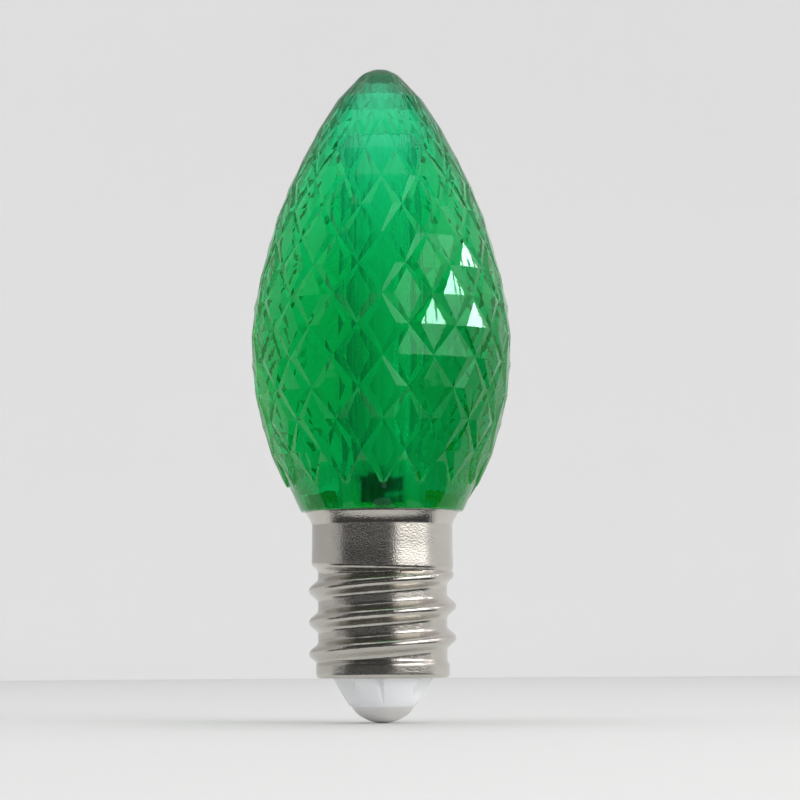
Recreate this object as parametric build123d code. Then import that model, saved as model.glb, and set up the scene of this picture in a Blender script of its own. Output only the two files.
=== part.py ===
from build123d import *
from math import cos, radians, sin
import os

# A C7 candelabra lamp, tip up: millimetres, +Z up, front towards -Y.
# The origin is the lowest point of the centre contact, on the axis of the lamp.

# Lens
CELLS = 16                      # diamonds around the lens
HALF_CELL = 180 / CELLS         # degrees from one node to the next ring's node
FIRST_NODE = -89                # degrees around, of the node at the front
FIRST_RING = 18.95              # height of the lowest nodes
RING_PITCH = 2.43               # height between rings of nodes
ROWS = 13                       # rows of diamonds
CAP_EDGE = (2.00, 52.1)         # radius and height where the smooth tip begins
LENS_TOP = 53.1
LENS_FLOOR = 16.95              # underside of the lens, seated on the flared rim
LENS_FLOOR_R = 6.60
# height and radius of the outline, read at the ridges of the facets
OUTLINE = [(16.95, 6.65), (19.2, 7.86), (21.6, 8.93), (24.5, 9.78), (27.4, 10.32),
           (30.2, 10.47), (33.0, 10.32), (36.1, 9.69), (39.2, 8.86), (42.5, 7.75),
           (45.7, 6.25), (48.2, 4.95), (50.4, 3.55), (52.1, 2.08)]
RELIEF = 0.03                   # ridge above the nodes, as a share of the radius
RIDGE_SHARE = 0.55              # half length of a ridge, as a share of half a cell
APEX_SHARE = 0.16               # how far the wedges run in from a node
BORE_R = 2.12                   # fluted light well
BORE_FLUTE = 0.17
BORE_FLUTES = 18
BORE_TOP = 46.5
WELL_R = 2.35                   # plain lower part of the well, around the board
NECK_FLOOR = 13.5
NECK_HOLLOW_R = 4.30
NECK_CLEARANCE = 0.05

# Screw shell
SHEET = 0.25                    # thickness of the rolled sheet
RIM_R = 6.20
RIM_TOP = LENS_FLOOR
COLLAR_R = 5.70
COLLAR_TOP = 16.15
COLLAR_EDGE = 12.6              # height of the collar's lower edge
CREST_R = 5.91
ROOT_R = 5.19
CREST_ROUND = 0.35
PITCH = 2.54                    # ten threads to the inch
CREST_LEFT = 8.07               # height of the middle crest at the left side
SKIRT_R = 5.36
SKIRT_TOP = 4.85
SHELL_FLOOR = 3.60
SHELL_CORNER = 0.55
SHELL_MOUTH_R = 4.12
THREAD_FROM = -250              # degrees around, counted from +X at the middle turn
THREAD_TO = 830
FADE_IN = 70
FADE_OUT = 160

# Insulator and centre contact
CONE_TOP_R = 4.02
CONE_END_R = 2.62
CONE_END = 1.34
DISC_R = ROOT_R - SHEET - 0.06
DISC_TOP = 6.0
CONTACT_R = 2.55
SHANK_R = 0.95
SHANK_TOP = 6.4

# Board and its pieces
BOARD_T = 0.80
TAB_W = 3.50
TAB_TOP = 21.15                 # top edge of the board, where the emitter sits
BOARD_W = 7.20
BOARD_SHOULDER = 16.6
LED_H = 0.70
LED_D = 1.40
WELL_TOP = TAB_TOP + LED_H      # the fluted part of the well begins level with the emitter
LEAD_R = 0.20
LEAD_Y = -BOARD_T / 2 - LEAD_R - 0.06   # the leads run just clear of the board
SHELL_JOINT_Z = 11.9
CHIP_END = 0.30
# middle, foot, length, width and height of each chip on the front of the board
TAB_DIODE = (-1.4, TAB_TOP - 3.45, 3.3, 0.7, 0.9)
CAPACITOR = (1.9, 10.6, 4.2, 2.6, 1.6)
RESISTORS = [(0.85, TAB_TOP - 1.85, 1.75, 1.3, 0.6), (1.0, TAB_TOP - 3.95, 1.4, 1.0, 0.5),
             (-0.9, 12.4, 3.0, 1.6, 0.6)]


def outline_radius(height):
    """Radius of the outline at a height, on a smooth curve through the measured points."""
    n = len(OUTLINE)
    k = max(i for i in range(n - 1) if OUTLINE[i][0] <= height + 1e-9)
    z0, r0 = OUTLINE[k]
    z1, r1 = OUTLINE[k + 1]
    before = OUTLINE[max(k - 1, 0)]
    after = OUTLINE[min(k + 2, n - 1)]
    m0 = (r1 - before[1]) / (z1 - before[0])
    m1 = (after[1] - r0) / (after[0] - z0)
    h = z1 - z0
    t = (height - z0) / h
    return (r0 * (1 + 2 * t) * (1 - t) ** 2 + m0 * h * t * (1 - t) ** 2
            + r1 * t ** 2 * (3 - 2 * t) + m1 * h * t ** 2 * (t - 1))


def ring_height(row):
    return CAP_EDGE[1] if row > ROWS else FIRST_RING + row * RING_PITCH


def node_radius(row):
    if row > ROWS:
        return CAP_EDGE[0]
    return outline_radius(ring_height(row)) * (1 - RELIEF)


def around(steps, across, out, height):
    """A point seen from the axis, `steps` half cells round from the front."""
    a = radians(FIRST_NODE + steps * HALF_CELL)
    return Vector(out * cos(a) - across * sin(a), out * sin(a) + across * cos(a), height)


def flat(*points):
    return Face(Wire.make_polygon(points, close=True))


def diamond(row, steps):
    """One raised diamond: two main facets that meet in a level ridge, and four wedges."""
    half = radians(HALF_CELL)
    z = ring_height(row)
    side_x = node_radius(row) * sin(half)
    side_out = node_radius(row) * cos(half)
    ridge_x = side_x * RIDGE_SHARE
    ridge_out = outline_radius(z)
    # the wedges of one side lie in planes through this point above the ridge
    peak = ridge_out + (ridge_out - side_out) * ridge_x / (side_x - ridge_x)
    left = around(steps, -side_x, side_out, z)
    right = around(steps, side_x, side_out, z)
    ridge_l = around(steps, -ridge_x, ridge_out, z)
    ridge_r = around(steps, ridge_x, ridge_out, z)
    faces = []
    for other, up in ((row + 1, True), (row - 1, False)):
        node_out, node_z = node_radius(other), ring_height(other)
        node = around(steps, 0, node_out, node_z)
        apex = around(steps, 0, node_out + APEX_SHARE * (peak - node_out),
                      node_z + APEX_SHARE * (z - node_z))
        faces.append(flat(ridge_l, ridge_r, apex))
        faces.append(flat(node, left, ridge_l, apex))
        faces.append(flat(node, apex, ridge_r, right))
    return faces


def faceted_body():
    """The diamond-cut barrel, closed flat at both ends."""
    faces = []
    for row in range(1, ROWS + 1):
        for cell in range(CELLS):
            faces += diamond(row, 2 * cell + (row + 1) % 2)
    ends = []
    for row in (0, ROWS + 1):
        nodes = [around(2 * c, 0, node_radius(row), ring_height(row)) for c in range(CELLS)]
        ends.append(flat(*nodes))
        inner = 1 if row == 0 else ROWS
        for cell in range(CELLS):
            tip = around(2 * cell + 1, 0, node_radius(inner), ring_height(inner))
            faces.append(flat(nodes[cell], nodes[(cell + 1) % CELLS], tip))
    return Solid(Shell(faces + ends))


def turned(*points):
    """A body turned about the axis from radius and height pairs."""
    section = make_face(Polyline(*[(r, 0, z) for r, z in points], close=True))
    return revolve(section, Axis.Z)


def fluted_well():
    """The light well: a ring of V flutes in its upper part, plain round the board below."""
    points = []
    for k in range(2 * BORE_FLUTES):
        a = radians(k * 180 / BORE_FLUTES)
        r = BORE_R - BORE_FLUTE * (k % 2)
        points.append(Vector(r * cos(a), r * sin(a), WELL_TOP))
    fluted = extrude(flat(*points), BORE_TOP - WELL_TOP, dir=(0, 0, 1))
    hollow_top = LENS_FLOOR + 0.2
    plain = turned((0, NECK_FLOOR), (NECK_HOLLOW_R, NECK_FLOOR), (NECK_HOLLOW_R, hollow_top),
                   (WELL_R, hollow_top + 1.1), (WELL_R, WELL_TOP), (0, WELL_TOP))
    return fluted + plain


def lens():
    ring1_r, ring1_z = node_radius(1), ring_height(1)
    neck_r = COLLAR_R - SHEET - NECK_CLEARANCE
    rise = RIM_TOP - COLLAR_TOP
    skirt = turned((0, NECK_FLOOR), (neck_r, NECK_FLOOR), (neck_r, COLLAR_TOP),
                   (neck_r + rise * 0.55, LENS_FLOOR), (LENS_FLOOR_R - 0.12, LENS_FLOOR),
                   (LENS_FLOOR_R, LENS_FLOOR + 0.12), (ring1_r - 0.03, ring1_z), (0, ring1_z))
    r, z = CAP_EDGE
    cap_h = LENS_TOP - z
    cap_r = (r ** 2 + cap_h ** 2) / (2 * cap_h)
    cap = Pos(0, 0, LENS_TOP - cap_r) * Sphere(cap_r)
    body = faceted_body() + skirt + cap
    return body - fluted_well()


def thread_path(crest):
    """The line of the crest: level with the thread, sinking inwards at both ends."""
    points = []
    for deg in range(THREAD_FROM, THREAD_TO + 1, 30):
        fade = max(0, THREAD_FROM + FADE_IN - deg) / FADE_IN
        fade = max(fade, (deg - THREAD_TO + FADE_OUT) / FADE_OUT)
        r = crest - (crest - ROOT_R + 0.1) * fade * fade * (3 - 2 * fade)
        a = radians(deg)
        z = CREST_LEFT + PITCH * (deg - 180) / 360
        points.append((r * cos(a), r * sin(a), z))
    return Spline(*points)


def thread_ridge(inset):
    """The rolled ridge: a round crest, straight flanks and hollow feet, swept round the core."""
    path = thread_path(CREST_R)
    start = path @ 0
    upright = Plane(origin=start, x_dir=(start.X, start.Y, 0), z_dir=path % 0)
    depth = CREST_R - ROOT_R
    round_r = CREST_ROUND - inset * 0.4
    x0 = -inset - round_r * (1 - cos(radians(45)))
    y0 = round_r * sin(radians(45))
    x1 = -inset - depth + 0.267
    y1 = y0 + (x0 - x1)
    back = -inset - depth - 0.3
    upper = Line((x0, y0), (x1, y1)) + JernArc((x1, y1), (-1, 1), 1.0, -33)
    foot = upper @ 1
    outline = upper + mirror(upper, Plane.XZ) + ThreePointArc((x0, -y0), (-inset, 0), (x0, y0))
    outline += Polyline(foot, (back, foot.Y), (back, -foot.Y), (foot.X, -foot.Y))
    return sweep(upright * make_face(outline), path, is_frenet=True)


def shell_form(inset):
    """The form of the screw shell, drawn in by `inset` for its inside."""
    collar_r, root_r, skirt_r = COLLAR_R - inset, ROOT_R - inset, SKIRT_R - inset
    floor = SHELL_FLOOR + inset
    corner = SHELL_CORNER - inset
    low, high = SKIRT_TOP - 0.5, COLLAR_TOP - 1
    form = Pos(0, 0, (low + high) / 2) * Cylinder(root_r, high - low) + thread_ridge(inset)
    line = Polyline((skirt_r, 0, floor + corner), (skirt_r, 0, SKIRT_TOP - 0.15),
                    (root_r - 0.01, 0, SKIRT_TOP + 0.15), (0, 0, SKIRT_TOP + 0.15),
                    (0, 0, floor), (skirt_r - corner, 0, floor))
    bend = (skirt_r - corner * 0.293, 0, floor + corner * 0.293)
    form += revolve(make_face(line + ThreePointArc(line @ 1, bend, line @ 0)), Axis.Z)
    top = RIM_TOP + (0.5 if inset else 0)
    lip = collar_r + (RIM_R - COLLAR_R) * (top - COLLAR_TOP) / (RIM_TOP - COLLAR_TOP)
    collar = turned((0, COLLAR_EDGE - 1.3), (collar_r, COLLAR_EDGE - 1.3), (collar_r, COLLAR_TOP),
                    (lip, top), (0, top))
    step = turned((0, -0.5), (root_r - 0.12, -0.5), (collar_r + 0.1, 0.4),
                  (collar_r + 3, 0.9), (collar_r + 3, 8), (0, 8))
    return form + (collar & Pos(0, 0, COLLAR_EDGE) * step)


def base_shell():
    mouth = Pos(0, 0, SHELL_FLOOR + SHEET / 2) * Cylinder(SHELL_MOUTH_R, 4 * SHEET)
    return shell_form(0) - shell_form(SHEET) - mouth


def insulator():
    """The moulded cone: a disc inside the shell, three creases and three soft hollows."""
    r = CONE_TOP_R
    inside = SHELL_FLOOR + SHEET
    side = Spline((r, 0, SHELL_FLOOR - 0.05), (3.45, 0, 2.55), (CONE_END_R, 0, CONE_END))
    line = Polyline((CONE_END_R, 0, CONE_END), (0, 0, CONE_END), (0, 0, DISC_TOP),
                    (DISC_R, 0, DISC_TOP), (DISC_R, 0, inside + 0.3), (DISC_R - 0.3, 0, inside),
                    (r, 0, inside),
                    (r, 0, SHELL_FLOOR - 0.05))
    body = revolve(make_face(side + line), Axis.Z)
    for k in range(3):
        turn = Rot(0, 0, -94 + 120 * k)
        crease = Polyline((r - 0.45, 0, SHELL_FLOOR), (r + 0.4, -0.45, SHELL_FLOOR),
                          (r + 0.4, 0.45, SHELL_FLOOR), close=True)
        body -= turn * loft([make_face(crease), Vertex(CONE_END_R - 0.02, 0.25, CONE_END + 0.1)])
        hollow = Plane(origin=(CONE_END_R + 2.5, 0, CONE_END + 0.9)) * Sphere(2.2)
        body -= Rot(0, 0, -94 - 50 + 120 * k) * hollow
    body -= Pos(0, 0, DISC_TOP / 2) * Cylinder(SHANK_R, DISC_TOP + 2)
    return body


def centre_contact():
    """The domed rivet that meets the bottom of the socket."""
    dome = Spline((CONTACT_R, 0, CONE_END), (1.7, 0, 0.50), (0, 0, 0), tangents=((-0.6, 0, -1), (-1, 0, 0)))
    line = Polyline((0, 0, 0), (0, 0, SHANK_TOP), (SHANK_R, 0, SHANK_TOP), (SHANK_R, 0, CONE_END),
                    (CONTACT_R, 0, CONE_END))
    return revolve(make_face(dome + line), Axis.Z)


def block(x, y, z):
    """A box from its lower and upper limits along each axis."""
    size = (x[1] - x[0], y[1] - y[0], z[1] - z[0])
    return Pos(x[0], y[0], z[0]) * Box(*size, align=(Align.MIN, Align.MIN, Align.MIN))


def led_board():
    """The upright board: a wide foot on the insulator and a narrow tab up the light well."""
    half, tab, t = BOARD_W / 2, TAB_W / 2, BOARD_T / 2
    outline = Polyline((-half, 0, DISC_TOP), (-1.5, 0, DISC_TOP), (-1.5, 0, DISC_TOP + 2),
                       (1.5, 0, DISC_TOP + 2), (1.5, 0, DISC_TOP), (half, 0, DISC_TOP),
                       (half, 0, BOARD_SHOULDER), (tab, 0, BOARD_SHOULDER + 0.4),
                       (tab, 0, TAB_TOP), (-tab, 0, TAB_TOP), (-tab, 0, BOARD_SHOULDER + 0.4),
                       (-half, 0, BOARD_SHOULDER), close=True)
    return extrude(make_face(outline), t, dir=(0, 1, 0), both=True)


def wire(radius, *points):
    """A bent wire through the points, with round bends."""
    path = FilletPolyline(*points, radius=radius * 2)
    start = Plane(origin=path @ 0, z_dir=path % 0)
    return sweep(start * Circle(radius), path)


def led():
    """The emitter on the top edge of the tab, facing up the light well."""
    return block((-1.5, 1.5), (-LED_D / 2, LED_D / 2), (TAB_TOP, TAB_TOP + LED_H))


def led_terminals():
    """The two soldered tabs on the front of the emitter."""
    front = (-LED_D / 2 - 0.22, -LED_D / 2)
    wide = block((-0.86, -0.23), front, (TAB_TOP + 0.03, TAB_TOP + LED_H - 0.06))
    slim = block((0.11, 0.37), front, (TAB_TOP + 0.03, TAB_TOP + LED_H - 0.06))
    return Compound([wide, slim])


def chip(x, z, length, width, height):
    """A small surface-mount piece on the front of the board, as its body and its two ends."""
    front = (-BOARD_T / 2 - height, -BOARD_T / 2)
    across = (x - width / 2, x + width / 2)
    body = block(across, front, (z + CHIP_END, z + length - CHIP_END))
    ends = [block(across, front, (z, z + CHIP_END)),
            block(across, front, (z + length - CHIP_END, z + length))]
    return body, ends


def chips(which):
    return [chip(*line) for line in which]


def rectifier():
    """The bridge rectifier, standing on four bent legs behind the board."""
    near, far = BOARD_T / 2 + 0.2, BOARD_T / 2 + 1.9
    body = block((-2.0, 2.0), (near, far), (8.4, 12.8))
    return chamfer(body.edges().group_by(Axis.Y)[-1], 0.3)


def rectifier_legs():
    legs = []
    back, t, rise = BOARD_T / 2, 0.15, BOARD_T / 2 + 0.85
    for side in (-1, 1):
        for z in (9.3, 11.3):
            bent = Polyline((2.0, back + rise - 0.3), (2.5, back + rise - 0.3), (2.5, back + t),
                            (3.1, back + t), (3.1, back), (2.5 - t, back),
                            (2.5 - t, back + rise - 0.3 - t), (2.0, back + rise - 0.3 - t),
                            close=True)
            leg = Pos(0, 0, z) * extrude(make_face(bent), 0.6)
            legs.append(leg if side > 0 else mirror(leg, Plane.YZ))
    return Compound(legs)


def contact_lead():
    return wire(LEAD_R, (0, 0, SHANK_TOP), (0, 0, 7.1), (0, LEAD_Y, 7.8), (0, LEAD_Y, 9.4))


def shell_lead():
    return wire(LEAD_R, (-3.2, LEAD_Y, 10.2), (-3.2, LEAD_Y, SHELL_JOINT_Z),
                (-4.6, LEAD_Y, SHELL_JOINT_Z))


def solder_joints():
    """The beads that hold both leads to the board, the rivet and the shell."""
    front = -BOARD_T / 2
    bead = Sphere(0.62)
    on_board = block((-5, 5), (front - 2, front), (8, 12))
    beads = [Pos(0, front - 0.1, 9.1) * bead & on_board, Pos(-3.2, front - 0.1, 10.5) * bead & on_board,
             turned((0, SHANK_TOP), (0.7, SHANK_TOP), (0.3, SHANK_TOP + 0.45), (0, SHANK_TOP + 0.45)),
             Pos(-4.75, LEAD_Y, SHELL_JOINT_Z) * Sphere(0.6) & shell_form(SHEET)]
    return Compound([b.solid() for b in (c - contact_lead() - shell_lead() for c in beads)])


PIECES = {
    "lens": lens,
    "base_shell": base_shell,
    "insulator": insulator,
    "centre_contact": centre_contact,
    "led_board": led_board,
    "led": led,
    "led_terminals": led_terminals,
    "rectifier": rectifier,
    "rectifier_legs": rectifier_legs,
    "contact_lead": contact_lead,
    "shell_lead": shell_lead,
    "solder_joints": solder_joints,
}


os.makedirs("parts", exist_ok=True)
nodes = {name: make() for name, make in PIECES.items()}
resistors = chips(RESISTORS)
nodes["resistors"] = Compound([body for body, ends in resistors])
nodes["resistor_ends"] = Compound([e for body, ends in resistors for e in ends])
(diode, diode_ends), = chips([TAB_DIODE])
nodes["tab_diode"] = diode
nodes["tab_diode_ends"] = Compound(diode_ends)
(capacitor, capacitor_ends), = chips([CAPACITOR])
nodes["capacitor"] = capacitor
nodes["capacitor_ends"] = Compound(capacitor_ends)
for name, shape in nodes.items():
    export_step(shape, f"parts/{name}.step")
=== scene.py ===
from math import atan2, cos, degrees, hypot, pi, radians, sin, sqrt

import bmesh
import bpy
from mathutils import Matrix, Vector
from mathutils.geometry import interpolate_bezier


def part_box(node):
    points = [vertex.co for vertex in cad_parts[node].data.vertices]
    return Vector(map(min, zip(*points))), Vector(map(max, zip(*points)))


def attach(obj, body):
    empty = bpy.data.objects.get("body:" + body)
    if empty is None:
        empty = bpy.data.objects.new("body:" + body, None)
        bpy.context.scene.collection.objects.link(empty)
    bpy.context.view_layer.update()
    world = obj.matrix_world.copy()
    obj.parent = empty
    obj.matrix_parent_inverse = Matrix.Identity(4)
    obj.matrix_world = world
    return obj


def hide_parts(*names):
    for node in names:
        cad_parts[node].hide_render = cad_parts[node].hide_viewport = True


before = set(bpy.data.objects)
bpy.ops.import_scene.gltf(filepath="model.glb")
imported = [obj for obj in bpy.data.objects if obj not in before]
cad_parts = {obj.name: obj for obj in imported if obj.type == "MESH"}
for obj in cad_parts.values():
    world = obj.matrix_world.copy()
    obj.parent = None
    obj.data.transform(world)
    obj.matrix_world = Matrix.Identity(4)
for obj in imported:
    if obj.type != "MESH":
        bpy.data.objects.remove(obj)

bl_info = {
    "name": "Diamond-Cut Lamp",
    "version": (1, 0, 0),
    "blender": (4, 5, 0),
    "location": "3D View > Sidebar > Lamp",
    "description": "Dresses the green diamond-cut lamp, its screw shell and its studio",
    "category": "Object",
}

MM = 0.001
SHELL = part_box("base_shell")
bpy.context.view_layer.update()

# Diamonds of the lens. Heights and radii are in metres, rows in millimetres and angles in degrees.
CUT_FROM, CUT_TO = 0.0187, 0.0522  # heights between which the lens is cut
LIFT_FROM_RADIUS = 0.0024          # just over the light well's radius
WELL_EDGE = (0.0026, 0.0027)       # the light well's wall lies nearer the axis than these
FIRST_MERIDIAN, MERIDIAN_STEP, MERIDIAN_SLACK = -89, 11.25, 0.6
FIRST_ROW, ROW_STEP, ROW_SLACK = 18.95, 2.43, 0.06
LAST_CORNERS = 0.052               # the topmost corners lie above this height
RIDGE_SHARE = 0.62                 # lift of a ridge's middle, as a share of a corner's

# Finishes. Heights and radii are in metres.
TIP_LIGHT_RANGE = (0.024, 0.049)         # heights over which painted light makes the lens paler towards its tip
OUTSIDE_STREAKS = 0.14             # strength of the upright streaks outside the light well
MOUTH_EDGE = (0.00418, 0.00426)    # radii between which the shell goes from a painted yellow reflection of a warm lamp to nickel
# Painted reflection: the yellow of a warm lamp mirrored at the mouth's inner edge.
MOUTH_GLINT_COLOUR = (0.62, 0.40, 0.10, 1)
MASK_RANGE = (0.3, 0.7)            # the part of the mottle's mask that a colour or a gloss runs over

# Screw shell, in millimetres and degrees. The rim is given as radius and drop below the top.
CREST_ROUND, CREST_HALF, FLANK_DROP, FLANK_SLOPE = 0.42, 0.322, 0.150, 1.19
THREAD_RUN_IN, THREAD_RUN_OUT, THREAD_SUNK, THREAD_FILLET = 70, 160, 0.1, 0.22
BAND_TOP, BAND_RISE = 5.05, 0.4
COLLAR_TILT, COLLAR_TILT_TURN = 0.25, 45
COLLAR_BOW, COLLAR_BOW_RISE = 0.045, 2.2
STEP_SUNK, STEP_DROP, STEP_SLOPE, STEP_ROUND, STEP_FILLET = 0.12, 0.4, 1.1, 0.16, 0.2
RIM = ((6.20, 0), (6.10, 0.16), (5.93, 0.43), (5.80, 0.66), (5.72, 0.86))
WALL_RADIUS, WALL_TOP, WALL_ROW, WALL_ROWS = 5.70, 15.9, 0.09, 130
FOOT_ROUND, FOOT_TOP, FOOT_CENTRE, FOOT = 0.3, 4.2, 3.9, 3.6
MOUTH = ((4.45, FOOT), (4.12, FOOT))
ROLLED_FROM, ROLLED_TO, ROLLED_RADIUS = 4.15, 15.95, 5.0  # where the thread and the collar are rolled

# Insulator and contact, in millimetres and degrees.
CONE_FROM, CONE_TO, CONE_RADIUS = 1.35, 3.88, 2.6  # where creases and hollows are cut
CONE_FLANK = ((4.02, 3.55, 0), (3.72, 3.0, 0), (3.05, 1.85, 0), (2.62, 1.34, 0))
SOCKET_LINE = [(0, 6.0), (4.86, 6.0), (4.88, 4.1), (4.6, 3.87), (4.02, 3.87)]
CREASES, CREASE_TURN, CREASE_LEAN = 3, -94, 0.25
CREASE_FOOT, CREASE_RISE = 1.44, 2.16
CREASE_HALF, CREASE_LEAST, CREASE_DEPTH = 0.34, 0.03, 0.45
HOLLOW_TURN, HOLLOW_RADIUS, HOLLOW_HEIGHT, HOLLOW_REACH, HOLLOW_ROUND = 50, 2.2, 2.24, 5.12, 0.35
CONTACT_FOOT = 1.34
CONTACT_STEM = [(0, 6.4), (0.95, 6.4), (0.95, CONTACT_FOOT)]
DOME_SIDE = ((2.55, CONTACT_FOOT, 0), (2.35, 0.98, 0), (2.05, 0.68, 0), (1.7, 0.48, 0))
DOME_END = ((1.7, 0.48, 0), (1.15, 0.15, 0), (0.6, 0.0, 0), (0.0, 0.0, 0))

# Studio. Floor and backdrop are in millimetres, its fade and the lights in metres, directions in degrees.
FLOOR_RINGS = (20, 50, 150, 300, 600, 1500, 4000, 8000)
NEAR_FLOOR_END = 300  # radius out to which the front of the floor isn't mirrored
BACKDROP_FOOT, BACKDROP_SWEEP, BACKDROP_LIFT = 600, 200, 0.02
BACKDROP_HEIGHTS = (500, 1100)
BACKDROP_FADE = (-0.35, 0.15)
KEY_TURN, KEY_REACH, KEY_HEIGHT, KEY_SIZE = 50, 0.34, 0.155, (0.34, 0.24)
TOP_PLACE, TOP_SIZE = (0, 0.05, 0.75), (0.9, 0.9)
SPARK_AIM, SPARK_REACH, SPARK_SIZE = (0.006, -0.006, 0.036), 0.34, (0.02, 0.02)
SPARK_DIRECTIONS = ((101, 26.2), (75, 25.4), (95, 13.6), (48.6, 16.3))
SPARK_COLOUR = (1, 0.87, 0.93)


# Shapes

def smooth_max(a, b, width):
    """The larger of two radii, rounded where they cross."""
    h = max(width - abs(a - b), 0.0) / width
    return max(a, b) + h * h * width * 0.25


def smooth_min(a, b, width):
    """The smaller of two radii, rounded where they cross."""
    return -smooth_max(-a, -b, width)


def blend(t):
    """A share that rises softly from 0 to 1 as t does."""
    t = min(max(t, 0.0), 1.0)
    return t * t * (3 - 2 * t)


def thread_section(d):
    """Drop of the rolled ridge below its crest at distance d up or down from it."""
    d = abs(d)
    if d < CREST_HALF:
        return sqrt(CREST_ROUND ** 2 - d * d) - CREST_ROUND
    return -FLANK_DROP - (d - CREST_HALF) * FLANK_SLOPE


def thread_radius(angle, z, sizes):
    """Radius of the highest ridge at a place on the wall, in millimetres."""
    best = 0.0
    for turn in range(-1, 3):
        deg = angle + 360 * turn
        if not sizes.thread_from <= deg <= sizes.thread_to:
            continue
        fade = max(blend((sizes.thread_from + THREAD_RUN_IN - deg) / THREAD_RUN_IN),
                   blend((deg - sizes.thread_to + THREAD_RUN_OUT) / THREAD_RUN_OUT))
        crest = sizes.crest_radius / MM
        crest -= (crest - sizes.root_radius / MM + THREAD_SUNK) * fade
        middle = sizes.crest_height / MM + sizes.pitch / MM * (deg - 180) / 360
        best = max(best, crest + thread_section(z - middle))
    return best


def wall_radius(angle, z, sizes):
    """Radius of the rolled wall at an angle and a height, in millimetres."""
    root, skirt, collar = sizes.root_radius / MM, sizes.skirt_radius / MM, sizes.collar_radius / MM
    base = root + (skirt - root) * blend((BAND_TOP - z) / BAND_RISE)
    wall = smooth_max(base, thread_radius(angle, z, sizes), THREAD_FILLET)
    edge = sizes.collar_edge / MM - COLLAR_TILT * cos(radians(angle + COLLAR_TILT_TURN))
    bow = collar - COLLAR_BOW * blend((z - edge) / COLLAR_BOW_RISE)
    step = smooth_min(root - STEP_SUNK + (z - edge + STEP_DROP) * STEP_SLOPE, bow, STEP_ROUND)
    return smooth_max(wall, step, STEP_FILLET)


def new_piece(name, bm, material, smooth_over=None):
    """Turns a finished bmesh into an object, smooth but for edges sharper than an angle."""
    mesh = bpy.data.meshes.new(name)
    bm.to_mesh(mesh)
    bm.free()
    for polygon in mesh.polygons:
        polygon.use_smooth = True
    if smooth_over is not None:
        mesh.set_sharp_from_angle(angle=smooth_over)
    mesh.materials.append(material)
    piece = bpy.data.objects.new(name, mesh)
    bpy.context.scene.collection.objects.link(piece)
    return piece


def spun(line, steps):
    """A bmesh lathe: the line of radius and height pairs, in millimetres, turned about the axis."""
    bm = bmesh.new()
    points = [bm.verts.new((r * MM, 0, z * MM)) for r, z in line]
    edges = [bm.edges.new(pair) for pair in zip(points, points[1:])]
    bmesh.ops.spin(bm, geom=points + edges, cent=(0, 0, 0), axis=(0, 0, 1), angle=2 * pi,
                   steps=steps, use_merge=True, use_duplicate=False)
    bmesh.ops.remove_doubles(bm, verts=bm.verts, dist=1e-7)
    return bm


def swept(line, start, turn, steps):
    """A bmesh sheet: the line of radius and height pairs, in millimetres, turned part way round."""
    bm = bmesh.new()
    a = radians(start)
    points = [bm.verts.new((r * MM * cos(a), r * MM * sin(a), z * MM)) for r, z in line]
    edges = [bm.edges.new(pair) for pair in zip(points, points[1:])]
    bmesh.ops.spin(bm, geom=points + edges, cent=(0, 0, 0), axis=(0, 0, 1), angle=radians(turn),
                   steps=steps, use_merge=False, use_duplicate=False)
    return bm


def merged_copy(node):
    """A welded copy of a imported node's mesh."""
    bm = bmesh.new()
    bm.from_mesh(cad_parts[node].data)
    bmesh.ops.remove_doubles(bm, verts=bm.verts, dist=2e-6)
    return bm


# Materials

def node_tree(name):
    """A new material, its nodes and its Principled shader."""
    material = bpy.data.materials.new(name)
    material.use_nodes = True
    tree = material.node_tree
    return material, tree, tree.nodes["Principled BSDF"]


def add(tree, kind, inputs=None, **settings):
    """A node with its settings and its input values or links."""
    node = tree.nodes.new(kind)
    for key, value in settings.items():
        setattr(node, key, value)
    for key, value in (inputs or {}).items():
        if isinstance(value, bpy.types.NodeSocket):
            tree.links.new(value, node.inputs[key])
        else:
            node.inputs[key].default_value = value
    return node


def mottle_group():
    """Slow unevenness of a surface: a mask and a height, from Object coordinates."""
    name = "Surface mottle"
    if name in bpy.data.node_groups:
        return bpy.data.node_groups[name]
    group = bpy.data.node_groups.new(name, "ShaderNodeTree")
    for socket, value in (("Grain", 300.0), ("Slow Grain", 60.0)):
        scale = group.interface.new_socket(socket, in_out="INPUT", socket_type="NodeSocketFloat")
        scale.default_value = value
    for socket in ("Mask", "Height"):
        group.interface.new_socket(socket, in_out="OUTPUT", socket_type="NodeSocketFloat")
    start, end = add(group, "NodeGroupInput"), add(group, "NodeGroupOutput")
    place = add(group, "ShaderNodeTexCoord").outputs["Object"]
    fine = add(group, "ShaderNodeTexNoise", {"Vector": place, "Scale": start.outputs["Grain"],
                                             "Detail": 2.0, "Roughness": 0.5})
    slow = add(group, "ShaderNodeTexNoise", {"Vector": place, "Scale": start.outputs["Slow Grain"],
                                             "Detail": 3.0, "Roughness": 0.6})
    group.links.new(slow.outputs["Fac"], end.inputs["Mask"])
    group.links.new(fine.outputs["Fac"], end.inputs["Height"])
    return group


def mottle(tree, grain, slow):
    """The surface mottle, placed in a material with its own two grains."""
    node = add(tree, "ShaderNodeGroup", node_tree=mottle_group())
    node.inputs["Grain"].default_value = grain
    node.inputs["Slow Grain"].default_value = slow
    return node


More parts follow.
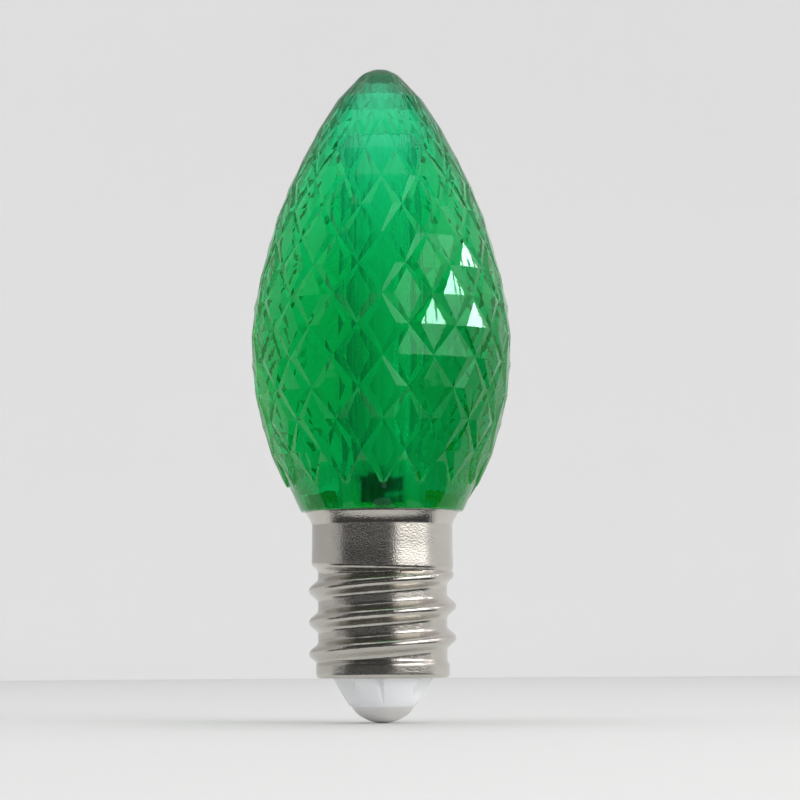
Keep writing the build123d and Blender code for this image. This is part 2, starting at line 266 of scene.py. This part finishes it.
def axis_group():
    """Distance from the lamp's axis and height above its foot, from Object coordinates."""
    name = "Place on the lamp"
    if name in bpy.data.node_groups:
        return bpy.data.node_groups[name]
    group = bpy.data.node_groups.new(name, "ShaderNodeTree")
    group.interface.new_socket("Radius", in_out="OUTPUT", socket_type="NodeSocketFloat")
    group.interface.new_socket("Height", in_out="OUTPUT", socket_type="NodeSocketFloat")
    end = add(group, "NodeGroupOutput")
    place = add(group, "ShaderNodeTexCoord").outputs["Object"]
    parts = add(group, "ShaderNodeSeparateXYZ", {"Vector": place})
    flat = add(group, "ShaderNodeCombineXYZ", {"X": parts.outputs["X"], "Y": parts.outputs["Y"]})
    out = add(group, "ShaderNodeVectorMath", {0: flat.outputs["Vector"]}, operation="LENGTH")
    group.links.new(out.outputs["Value"], end.inputs["Radius"])
    group.links.new(parts.outputs["Z"], end.inputs["Height"])
    return group


def mapped(tree, value, low, high, at_low, at_high):
    """A number that goes from one value to another as the input goes from low to high."""
    node = add(tree, "ShaderNodeMapRange", {"Value": value, "From Min": low, "From Max": high,
                                            "To Min": at_low, "To Max": at_high})
    return node.outputs["Result"]


def zone(tree, measure, low, high, at_low, at_high):
    """A number that goes from one value to another between two radii or two heights."""
    place = add(tree, "ShaderNodeGroup", node_tree=axis_group())
    return mapped(tree, place.outputs[measure], low, high, at_low, at_high)


def blended(tree, share, first, second):
    """A colour that is the first at share 0 and the second at share 1."""
    node = add(tree, "ShaderNodeMix", {"Factor": share, "A": first, "B": second}, data_type="RGBA")
    return node.outputs["Result"]


def ramp(tree, fac, dark, pale):
    """A colour that runs from dark to pale as fac rises."""
    node = add(tree, "ShaderNodeValToRGB", {"Fac": fac})
    for stop, position, colour in zip(node.color_ramp.elements, MASK_RANGE, (dark, pale)):
        stop.position = position
        stop.color = colour
    return node.outputs["Color"]


def spread(tree, fac, low, high):
    """A number that runs from low to high as fac rises."""
    return mapped(tree, fac, *MASK_RANGE, low, high)


def bump(tree, shader, height, depth):
    """A relief of the surface, its depth in metres."""
    node = add(tree, "ShaderNodeBump", {"Height": height, "Distance": depth, "Strength": 1.0})
    tree.links.new(node.outputs["Normal"], shader.inputs["Normal"])
    return node


def paler(colour, factor, lift=0.0):
    """A colour brought nearer to white, and kept at full alpha."""
    return [min(c * factor + lift, 1) for c in colour[:3]] + [1]


def plain_finish(name, dark, pale, rough, metal=0.0, grain=900.0, slow=250.0, depth=0.000004):
    """An opaque finish whose colour and gloss vary a little over the surface."""
    material, tree, shader = node_tree(name)
    uneven = mottle(tree, grain, slow)
    tree.links.new(ramp(tree, uneven.outputs["Mask"], dark, pale), shader.inputs["Base Color"])
    tree.links.new(spread(tree, uneven.outputs["Mask"], *rough), shader.inputs["Roughness"])
    shader.inputs["Metallic"].default_value = metal
    bump(tree, shader, uneven.outputs["Height"], depth)
    return material


def recolour(material, ray, share, colour):
    """Gives a paper another colour, by a share, for one kind of ray alone."""
    tree = material.node_tree
    base = tree.nodes["Principled BSDF"].inputs["Base Color"]
    kind = add(tree, "ShaderNodeLightPath").outputs[ray]
    part = add(tree, "ShaderNodeMath", {0: kind, 1: share}, operation="MULTIPLY").outputs["Value"]
    tree.links.new(blended(tree, part, base.links[0].from_socket, colour), base)


def lens_plastic(finish):
    """Clear moulded plastic, dyed green right through, with painted light that makes its tip paler."""
    material, tree, shader = node_tree("Green lens plastic")
    uneven = mottle(tree, 450.0, 120.0)
    tint = finish.lens_colour
    body = ramp(tree, uneven.outputs["Mask"], tint, paler(tint, 1.12, 0.01))
    # Painted light: towards the tip the surface tint turns paler, standing in for the light that reaches
    # the tip.
    tip = zone(tree, "Height", *TIP_LIGHT_RANGE, 0.0, 1.0)
    tree.links.new(blended(tree, tip, body, finish.painted_tip_light), shader.inputs["Base Color"])
    inside = add(tree, "ShaderNodeNewGeometry").outputs["Backfacing"]
    outside = spread(tree, uneven.outputs["Mask"], 0.02, 0.045)
    polish = add(tree, "ShaderNodeMix", {"Factor": inside, "A": outside, "B": finish.lens_haze},
                 data_type="FLOAT")
    tree.links.new(polish.outputs["Result"], shader.inputs["Roughness"])
    shader.inputs["Transmission Weight"].default_value = 1.0
    shader.inputs["IOR"].default_value = 1.49
    shader.inputs["Specular Tint"].default_value = finish.lens_gleam
    place = add(tree, "ShaderNodeTexCoord").outputs["Object"]
    drawn = add(tree, "ShaderNodeMapping", {"Vector": place, "Scale": (1.0, 1.0, 0.03)})
    streaks = add(tree, "ShaderNodeTexNoise", {"Vector": drawn.outputs["Vector"], "Scale": 1500.0,
                                               "Detail": 1.0})
    well = zone(tree, "Radius", *WELL_EDGE, 1.0, OUTSIDE_STREAKS)
    lines = add(tree, "ShaderNodeBump", {"Height": streaks.outputs["Fac"], "Distance": 0.00012,
                                         "Strength": well})
    skin = bump(tree, shader, uneven.outputs["Height"], 0.000012)
    tree.links.new(lines.outputs["Normal"], skin.inputs["Normal"])
    depth = add(tree, "ShaderNodeVolumeAbsorption", {"Color": finish.lens_depth_colour,
                                                     "Density": finish.lens_density})
    tree.links.new(depth.outputs["Volume"], tree.nodes["Material Output"].inputs["Volume"])
    return material


def nickel_plate(finish):
    """Nickel on rolled brass: fine orange peel, and a painted reflection of a warm lamp, in yellow, at the
    inner edge of the mouth.
    """
    material, tree, shader = node_tree("Nickel plate")
    uneven = mottle(tree, 7500.0, 420.0)
    pale = finish.nickel_colour
    dull = [c * 0.9 for c in pale[:3]] + [1]
    plate = ramp(tree, uneven.outputs["Mask"], dull, pale)
    # Painted reflection: the mouth's inner edge is coloured yellow for a warm lamp's reflection.
    mouth = zone(tree, "Radius", *MOUTH_EDGE, 1.0, 0.0)
    tree.links.new(blended(tree, mouth, plate, MOUTH_GLINT_COLOUR), shader.inputs["Base Color"])
    tree.links.new(spread(tree, uneven.outputs["Mask"], 0.14, 0.21), shader.inputs["Roughness"])
    shader.inputs["Metallic"].default_value = 1.0
    bump(tree, shader, uneven.outputs["Height"], 0.000018)
    return material


# Settings

class LampSizes(bpy.types.PropertyGroup):
    edge_round: bpy.props.FloatProperty(
        name="Cut edge", description="Width of the softened edges between the facets",
        default=0.00014, precision=6, unit="LENGTH")
    node_lift: bpy.props.FloatProperty(
        name="Node lift", default=0.022, precision=4,
        description="How far the corners of the diamonds stand out, as a share of the radius")
    crest_radius: bpy.props.FloatProperty(
        name="Thread crest", description="Radius of the screw thread over its crests",
        default=0.00591, precision=6, unit="LENGTH")
    root_radius: bpy.props.FloatProperty(
        name="Thread root", description="Radius of the wall between the ridges",
        default=0.00519, precision=6, unit="LENGTH")
    pitch: bpy.props.FloatProperty(
        name="Thread pitch", description="Rise of the thread in one turn",
        default=0.00254, precision=6, unit="LENGTH")
    crest_height: bpy.props.FloatProperty(
        name="Crest height", description="Height of the middle crest at the left side",
        default=0.00807, precision=6, unit="LENGTH")
    thread_from: bpy.props.FloatProperty(
        name="Thread start", description="Angle where the ridge rises from the wall, in degrees",
        default=-250)
    thread_to: bpy.props.FloatProperty(
        name="Thread end", description="Angle where the ridge has sunk back, in degrees", default=830)
    collar_edge: bpy.props.FloatProperty(
        name="Collar edge", description="Height of the lower edge of the collar",
        default=0.01235, precision=6, unit="LENGTH")
    collar_radius: bpy.props.FloatProperty(
        name="Collar", description="Radius of the plain collar", default=0.0057, precision=6, unit="LENGTH")
    skirt_radius: bpy.props.FloatProperty(
        name="Plain band", description="Radius of the plain band under the thread",
        default=0.00536, precision=6, unit="LENGTH")
    sheet: bpy.props.FloatProperty(
        name="Sheet", description="Thickness of the rolled sheet",
        default=0.00025, precision=6, unit="LENGTH")


class LampFinish(bpy.types.PropertyGroup):
    lens_colour: bpy.props.FloatVectorProperty(
        name="Lens surface", description="Tint that light takes at the lens surface",
        subtype="COLOR", size=4, default=(0.08, 0.75, 0.59, 1), min=0, max=1)
    # Painted light: a paler tint at the tip stands in for the light that reaches it there.
    painted_tip_light: bpy.props.FloatVectorProperty(
        name="Lens tip", description="Tint that light takes at the surface of the tip",
        subtype="COLOR", size=4, default=(0.75, 1.0, 0.93, 1), min=0, max=1)
    lens_haze: bpy.props.FloatProperty(
        name="Lens haze", description="Roughness that light meets on its way out of the plastic",
        default=0.34)
    lens_gleam: bpy.props.FloatVectorProperty(
        name="Lens gleam", description="Tint of what the lens mirrors straight on",
        subtype="COLOR", size=4, default=(0.48, 1.0, 0.8, 1), min=0, max=1)
    lens_depth_colour: bpy.props.FloatVectorProperty(
        name="Lens depth", description="Tint that light takes inside the plastic",
        subtype="COLOR", size=4, default=(0.006, 0.90, 0.66, 1), min=0, max=1)
    lens_density: bpy.props.FloatProperty(
        name="Lens density", description="Strength of the tint inside the plastic, per metre",
        default=340.0)
    nickel_colour: bpy.props.FloatVectorProperty(
        name="Nickel", description="Colour of the plated shell",
        subtype="COLOR", size=4, default=(0.66, 0.63, 0.58, 1), min=0, max=1)
    contact_colour: bpy.props.FloatVectorProperty(
        name="Contact", description="Colour of the centre contact",
        subtype="COLOR", size=4, default=(1.0, 0.985, 0.975, 1), min=0, max=1)
    insulator_colour: bpy.props.FloatVectorProperty(
        name="Insulator", description="Colour of the moulded insulator",
        subtype="COLOR", size=4, default=(0.91, 0.93, 0.955, 1), min=0, max=1)


class StudioSettings(bpy.types.PropertyGroup):
    camera_distance: bpy.props.FloatProperty(
        name="Camera distance", description="From the camera to the middle of the lamp",
        default=0.2411, unit="LENGTH")
    camera_lift: bpy.props.FloatProperty(
        name="Camera elevation", description="Angle of the camera above the horizon",
        default=radians(-5), subtype="ANGLE")
    focal: bpy.props.FloatProperty(
        name="Focal length", description="Focal length of the camera in millimetres", default=134.0)
    roll: bpy.props.FloatProperty(
        name="Roll", description="Turn of the camera about its line of sight",
        default=radians(-0.35), subtype="ANGLE")
    aim: bpy.props.FloatVectorProperty(
        name="Aim", description="Point that the camera looks at", size=3,
        default=(0.0015, 0, 0.0260), subtype="TRANSLATION")
    floor_colour: bpy.props.FloatVectorProperty(
        name="Floor", description="Colour of the floor",
        subtype="COLOR", size=4, default=(0.80, 0.80, 0.80, 1), min=0, max=1)
    backdrop_colour: bpy.props.FloatVectorProperty(
        name="Backdrop", description="Colour of the curved wall",
        subtype="COLOR", size=4, default=(0.92, 0.92, 0.92, 1), min=0, max=1)
    floor_through: bpy.props.FloatVectorProperty(
        name="Floor, through the lens",
        description="Colour of the floor for light that comes through the lens",
        subtype="COLOR", size=4, default=(1.0, 1.0, 1.0, 1), min=0, max=1)
    backdrop_mirrored: bpy.props.FloatVectorProperty(
        name="Backdrop, mirrored", description="Colour of the wall's left side in polished surfaces",
        subtype="COLOR", size=4, default=(0.62, 0.62, 0.62, 1), min=0, max=1)
    key_power: bpy.props.FloatProperty(
        name="Key light", description="Power of the soft light at the right", default=0.59)
    top_power: bpy.props.FloatProperty(
        name="Top light", description="Power of the soft light overhead", default=2.2)
    spark_power: bpy.props.FloatProperty(
        name="Spark lights", description="Power of each small light that flashes on a facet",
        default=0.027)
    room_level: bpy.props.FloatProperty(
        name="Room", description="Brightness of the soft light from all round", default=0.58)
    mirror_level: bpy.props.FloatProperty(
        name="Room, mirrored", description="Brightness of the room in polished surfaces", default=0.06)
    clear_level: bpy.props.FloatProperty(
        name="Room, seen", description="Brightness of the room seen directly or through the lens",
        default=0.95)


# Operators

class LAMP_OT_lens(bpy.types.Operator):
    """Softens the cut edges of the lens and gives it its green plastic"""
    bl_idname = "lamp.lens"
    bl_label = "Lens"

    def execute(self, context):
        bm = merged_copy("lens")
        bmesh.ops.dissolve_limit(bm, angle_limit=radians(0.5), verts=bm.verts, edges=bm.edges)
        self.lift_corners(bm, context.scene.lamp_sizes.node_lift)
        cut = []
        for edge in bm.edges:
            if len(edge.link_faces) != 2:
                raise RuntimeError("the lens is open at an edge")
            middle = (edge.verts[0].co + edge.verts[1].co) / 2
            outside = hypot(middle.x, middle.y) > WELL_EDGE[0]
            if edge.calc_face_angle() > radians(2) and outside and CUT_FROM < middle.z < CUT_TO:
                cut.append(edge)
        width = context.scene.lamp_sizes.edge_round
        bmesh.ops.bevel(bm, geom=cut, offset=width, offset_type="OFFSET", segments=2, profile=0.5,
                        affect="EDGES", material=-1, clamp_overlap=True)
        bmesh.ops.recalc_face_normals(bm, faces=bm.faces)
        material = lens_plastic(context.scene.lamp_finish)
        piece = new_piece("lens_cut", bm, material, radians(22))
        finish = piece.modifiers.new("Even facets", "WEIGHTED_NORMAL")
        finish.keep_sharp = True
        finish.weight = 80
        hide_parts("lens")
        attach(piece, "root")
        return {"FINISHED"}

    def lift_corners(self, bm, lift):
        """Moves the corners between the diamonds outwards, and the middles of the ridges less far."""
        for vert in bm.verts:
            if not CUT_FROM < vert.co.z < CUT_TO or hypot(vert.co.x, vert.co.y) <= LIFT_FROM_RADIUS:
                continue
            turn = (degrees(atan2(vert.co.y, vert.co.x)) - FIRST_MERIDIAN + 360) % MERIDIAN_STEP
            if MERIDIAN_SLACK <= turn <= MERIDIAN_STEP - MERIDIAN_SLACK:
                continue
            row = ((vert.co.z / MM - FIRST_ROW) / ROW_STEP) % 1
            at_corner = not ROW_SLACK <= row <= 1 - ROW_SLACK or vert.co.z > LAST_CORNERS
            share = 1 + lift * (1.0 if at_corner else RIDGE_SHARE)
            vert.co.x *= share
            vert.co.y *= share


class LAMP_OT_shell(bpy.types.Operator):
    """Rolls the screw shell from one sheet, with its thread, collar and flared rim"""
    bl_idname = "lamp.shell"
    bl_label = "Screw shell"

    def execute(self, context):
        sizes = context.scene.lamp_sizes
        top = SHELL[1].z / MM
        line = [(radius, top - drop) for radius, drop in RIM]
        line += [(WALL_RADIUS, WALL_TOP - WALL_ROW * k) for k in range(WALL_ROWS)]
        corner = sizes.skirt_radius / MM - FOOT_ROUND
        line += [(corner + FOOT_ROUND, z) for z in (FOOT_TOP, (FOOT_TOP + FOOT_CENTRE) / 2)]
        line += [(corner + FOOT_ROUND * cos(a), FOOT_CENTRE - FOOT_ROUND * sin(a))
                 for a in [radians(15 * k) for k in range(0, 7)]]
        line += MOUTH
        bm = spun(line, 240)
        for vert in bm.verts:
            out, z = hypot(vert.co.x, vert.co.y), vert.co.z / MM
            if ROLLED_FROM < z < ROLLED_TO and out / MM > ROLLED_RADIUS:
                angle = degrees(atan2(vert.co.y, vert.co.x))
                wanted = wall_radius(angle, z, sizes) * MM
                vert.co.x *= wanted / out
                vert.co.y *= wanted / out
        bmesh.ops.recalc_face_normals(bm, faces=bm.faces)
        outward = 0.0
        for face in bm.faces:
            middle = face.calc_center_median()
            outward += face.normal.x * middle.x + face.normal.y * middle.y
        if outward < 0:
            bmesh.ops.reverse_faces(bm, faces=bm.faces)
        piece = new_piece("rolled_shell", bm, nickel_plate(context.scene.lamp_finish), radians(50))
        wall = piece.modifiers.new("Sheet", "SOLIDIFY")
        wall.thickness = sizes.sheet
        wall.offset = -1
        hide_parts("base_shell")
        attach(piece, "root")
        return {"FINISHED"}


class LAMP_OT_insulator(bpy.types.Operator):
    """Shapes the glossy insulator, with its creases and hollows"""
    bl_idname = "lamp.insulator"
    bl_label = "Insulator"

    def execute(self, context):
        flank = [(p[0], p[1]) for p in interpolate_bezier(*CONE_FLANK, 40)]
        bm = spun(SOCKET_LINE + flank + [(0, CONTACT_FOOT)], 360)
        for vert in bm.verts:
            out, z = hypot(vert.co.x, vert.co.y) / MM, vert.co.z / MM
            if CONE_FROM < z < CONE_TO and out >= CONE_RADIUS:
                share = self.cone_radius(atan2(vert.co.y, vert.co.x), out, z) / out
                vert.co.x *= share
                vert.co.y *= share
        bmesh.ops.recalc_face_normals(bm, faces=bm.faces)
        tone = context.scene.lamp_finish.insulator_colour
        material = plain_finish("White insulator", tone, paler(tone, 1.04), (0.10, 0.16),
                                grain=700.0, slow=300.0, depth=0.000006)
        piece = new_piece("moulded_insulator", bm, material, radians(35))
        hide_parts("insulator")
        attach(piece, "root")
        return {"FINISHED"}

    def cone_radius(self, angle, out, z):
        """Radius of the cone where the creases and the round hollows have been taken from it."""
        r = out
        share = min(max((z - CREASE_FOOT) / CREASE_RISE, 0.0), 1.0)
        for k in range(CREASES):
            centre = radians(CREASE_TURN + 360 / CREASES * k)
            across = out * sin(angle - centre) - CREASE_LEAN * (1 - share)
            half = CREASE_HALF * share + CREASE_LEAST
            if cos(angle - centre) > 0 and abs(across) < half:
                r -= CREASE_DEPTH * share * (1 - abs(across) / half)
            side = angle - centre + radians(HOLLOW_TURN)
            room = HOLLOW_RADIUS ** 2 - (z - HOLLOW_HEIGHT) ** 2 - (HOLLOW_REACH * sin(side)) ** 2
            if cos(side) > 0 and room > 0:
                r = smooth_min(r, HOLLOW_REACH * cos(side) - sqrt(room), HOLLOW_ROUND)
        return r


class LAMP_OT_contact(bpy.types.Operator):
    """Turns the domed centre contact"""
    bl_idname = "lamp.contact"
    bl_label = "Centre contact"

    def execute(self, context):
        dome = interpolate_bezier(*DOME_SIDE, 12) + interpolate_bezier(*DOME_END, 20)[1:]
        bm = spun(CONTACT_STEM + [(p[0], p[1]) for p in dome], 128)
        bmesh.ops.recalc_face_normals(bm, faces=bm.faces)
        pale = context.scene.lamp_finish.contact_colour
        dull = [c * 0.95 for c in pale[:3]] + [1]
        material = plain_finish("Contact plate", dull, pale, (0.26, 0.34),
                                metal=1.0, grain=3000.0, slow=500.0, depth=0.000003)
        piece = new_piece("domed_contact", bm, material, radians(35))
        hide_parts("centre_contact")
        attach(piece, "root")
        return {"FINISHED"}


class LAMP_OT_inside(bpy.types.Operator):
    """Gives the board and the small pieces inside the lamp their finishes"""
    bl_idname = "lamp.inside"
    bl_label = "Inside"

    def execute(self, context):
        tin = plain_finish("Tinned metal", (0.52, 0.51, 0.49, 1), (0.66, 0.65, 0.62, 1), (0.25, 0.4),
                           metal=1.0)
        chip = plain_finish("Chip body", (0.016, 0.016, 0.018, 1), (0.03, 0.03, 0.034, 1), (0.35, 0.55))
        finishes = {
            "led_board": plain_finish("Board", (0.012, 0.05, 0.025, 1), (0.02, 0.075, 0.035, 1),
                                      (0.3, 0.45)),
            "led": plain_finish("Emitter", (0.72, 0.66, 0.42, 1), (0.8, 0.74, 0.5, 1), (0.4, 0.5)),
            "capacitor": plain_finish("Capacitor body", (0.30, 0.20, 0.11, 1), (0.38, 0.26, 0.15, 1),
                                      (0.4, 0.55)),
        }
        finishes.update({name: chip for name in ("tab_diode", "resistors", "rectifier")})
        finishes.update({name: tin for name in (
            "led_terminals", "tab_diode_ends", "resistor_ends", "capacitor_ends", "rectifier_legs",
            "contact_lead", "shell_lead", "solder_joints")})
        for name, material in finishes.items():
            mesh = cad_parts[name].data
            mesh.materials.clear()
            mesh.materials.append(material)
        return {"FINISHED"}


class LAMP_OT_studio(bpy.types.Operator):
    """Sets the pale floor and backdrop, the soft lights and the camera"""
    bl_idname = "lamp.studio"
    bl_label = "Studio"

    def execute(self, context):
        studio = context.scene.lamp_studio
        self.backdrop(studio)
        self.lights(context, studio)
        self.room(context, studio)
        self.camera(context, studio)
        return {"FINISHED"}

    def backdrop(self, studio):
        """A floor that sweeps up into a curved wall. Its near front stays out of polished surfaces."""
        floor_paper, wall_paper = [
            plain_finish(name, tone, paler(tone, 1.02), (0.8, 0.9), grain=20.0, slow=3.0, depth=0.00001)
            for name, tone in (("Floor paper", studio.floor_colour),
                               ("Backdrop paper", studio.backdrop_colour))]
        recolour(floor_paper, "Is Transmission Ray", 1.0, studio.floor_through)
        tree = wall_paper.node_tree
        place = add(tree, "ShaderNodeTexCoord").outputs["Object"]
        across = add(tree, "ShaderNodeSeparateXYZ", {"Vector": place}).outputs["X"]
        recolour(wall_paper, "Is Glossy Ray", mapped(tree, across, *BACKDROP_FADE, 1.0, 0.0),
                 studio.backdrop_mirrored)
        rings = [(r, 0) for r in FLOOR_RINGS]
        near_rings = [ring for ring in rings if ring[0] <= NEAR_FLOOR_END]
        front_rings = [ring for ring in rings if ring[0] >= NEAR_FLOOR_END]
        new_piece("floor_middle", spun([(0, 0), (5, 0), rings[0]], 96), floor_paper)
        new_piece("floor_back", swept(rings, 0, 180, 48), floor_paper)
        new_piece("floor_front", swept(front_rings, 180, 180, 48), floor_paper)
        near = new_piece("floor_near", swept(near_rings, 180, 180, 48), floor_paper)
        near.visible_glossy = False
        line = [(BACKDROP_FOOT, BACKDROP_LIFT)]
        for a in [radians(10 * k) for k in range(1, 10)]:
            line.append((BACKDROP_FOOT + BACKDROP_SWEEP * sin(a),
                         BACKDROP_SWEEP + BACKDROP_LIFT - BACKDROP_SWEEP * cos(a)))
        line += [(BACKDROP_FOOT + BACKDROP_SWEEP, height) for height in BACKDROP_HEIGHTS]
        new_piece("backdrop", swept(line, -20, 220, 72), wall_paper)

    def soft_light(self, context, name, place, aim, size, power, colour=(1, 1, 1)):
        """A soft rectangular light that is out of the camera's sight."""
        lamp = bpy.data.lights.new(name, "AREA")
        lamp.shape = "RECTANGLE"
        lamp.size, lamp.size_y = size
        lamp.energy = power
        lamp.color = colour
        light = bpy.data.objects.new(name, lamp)
        light.location = place
        light.rotation_euler = (Vector(aim) - Vector(place)).to_track_quat("-Z", "Y").to_euler()
        light.visible_camera = False
        context.scene.collection.objects.link(light)
        return light

    def lights(self, context, studio):
        """A key light at the right, a light overhead, and small ones mirrored by four facets."""
        turn = radians(KEY_TURN)
        key = (KEY_REACH * sin(turn), -KEY_REACH * cos(turn), KEY_HEIGHT)
        self.soft_light(context, "key_light", key, (0, 0, KEY_HEIGHT), KEY_SIZE, studio.key_power,
                        (1, 0.99, 0.97))
        self.soft_light(context, "top_light", TOP_PLACE, (0, 0, 0), TOP_SIZE, studio.top_power)
        aim = Vector(SPARK_AIM)
        for number, (turn, lift) in enumerate(SPARK_DIRECTIONS, start=1):
            turn, lift = radians(turn), radians(lift)
            away = Vector((sin(turn) * cos(lift), -cos(turn) * cos(lift), sin(lift)))
            spark = self.soft_light(context, f"spark_{number}", aim + away * SPARK_REACH, aim, SPARK_SIZE,
                                    studio.spark_power, SPARK_COLOUR)
            spark.visible_diffuse = False
            spark.visible_transmission = False

    def room(self, context, studio):
        """A room that is pale where it is seen directly or through the lens, and dim in mirrors."""
        world = bpy.data.worlds.new("Room")
        context.scene.world = world
        world.use_nodes = True
        tree = world.node_tree
        back = tree.nodes["Background"]
        path = add(tree, "ShaderNodeLightPath")
        level = studio.room_level
        for name, other in (("Is Glossy Ray", studio.mirror_level),
                            ("Is Transmission Ray", studio.clear_level),
                            ("Is Camera Ray", studio.clear_level)):
            mix = add(tree, "ShaderNodeMix", {"Factor": path.outputs[name], "A": level, "B": other},
                      data_type="FLOAT")
            level = mix.outputs["Result"]
        back.inputs["Color"].default_value = (1, 1, 1, 1)
        tree.links.new(level, back.inputs["Strength"])

    def camera(self, context, studio):
        """The camera in front of the lamp, and the plain view of its colours."""
        data = bpy.data.cameras.new("camera")
        data.lens = studio.focal
        data.sensor_width = 36
        data.clip_start, data.clip_end = 0.01, 20
        camera = bpy.data.objects.new("camera", data)
        away = Vector((0, -cos(studio.camera_lift), sin(studio.camera_lift)))
        camera.location = Vector(studio.aim) + away * studio.camera_distance
        turn = (-away).to_track_quat("-Z", "Y").to_matrix() @ Matrix.Rotation(studio.roll, 3, "Z")
        camera.rotation_euler = turn.to_euler()
        context.scene.collection.objects.link(camera)
        context.scene.camera = camera
        context.scene.view_settings.view_transform = "Standard"


class LAMP_PT_sidebar(bpy.types.Panel):
    """Sizes, finishes and steps of the lamp"""
    bl_label = "Lamp"
    bl_idname = "LAMP_PT_sidebar"
    bl_space_type = "VIEW_3D"
    bl_region_type = "UI"
    bl_category = "Lamp"

    def draw(self, context):
        scene = context.scene
        for title, settings in (("Sizes", scene.lamp_sizes), ("Finish", scene.lamp_finish),
                                ("Studio", scene.lamp_studio)):
            box = self.layout.box()
            box.label(text=title)
            for key in settings.bl_rna.properties.keys():
                if key not in ("rna_type", "name"):
                    box.prop(settings, key)
        for operator in STEPS:
            self.layout.operator(operator.bl_idname)


STEPS = (LAMP_OT_lens, LAMP_OT_shell, LAMP_OT_insulator, LAMP_OT_contact, LAMP_OT_inside, LAMP_OT_studio)
CLASSES = (LampSizes, LampFinish, StudioSettings) + STEPS + (LAMP_PT_sidebar,)


def register():
    for item in CLASSES:
        bpy.utils.register_class(item)
    bpy.types.Scene.lamp_sizes = bpy.props.PointerProperty(type=LampSizes)
    bpy.types.Scene.lamp_finish = bpy.props.PointerProperty(type=LampFinish)
    bpy.types.Scene.lamp_studio = bpy.props.PointerProperty(type=StudioSettings)


def unregister():
    del bpy.types.Scene.lamp_studio
    del bpy.types.Scene.lamp_finish
    del bpy.types.Scene.lamp_sizes
    for item in reversed(CLASSES):
        bpy.utils.unregister_class(item)


def main():
    register()
    bpy.ops.lamp.lens()
    bpy.ops.lamp.shell()
    bpy.ops.lamp.insulator()
    bpy.ops.lamp.contact()
    bpy.ops.lamp.inside()
    bpy.ops.lamp.studio()


if __name__ == "__main__":
    main()
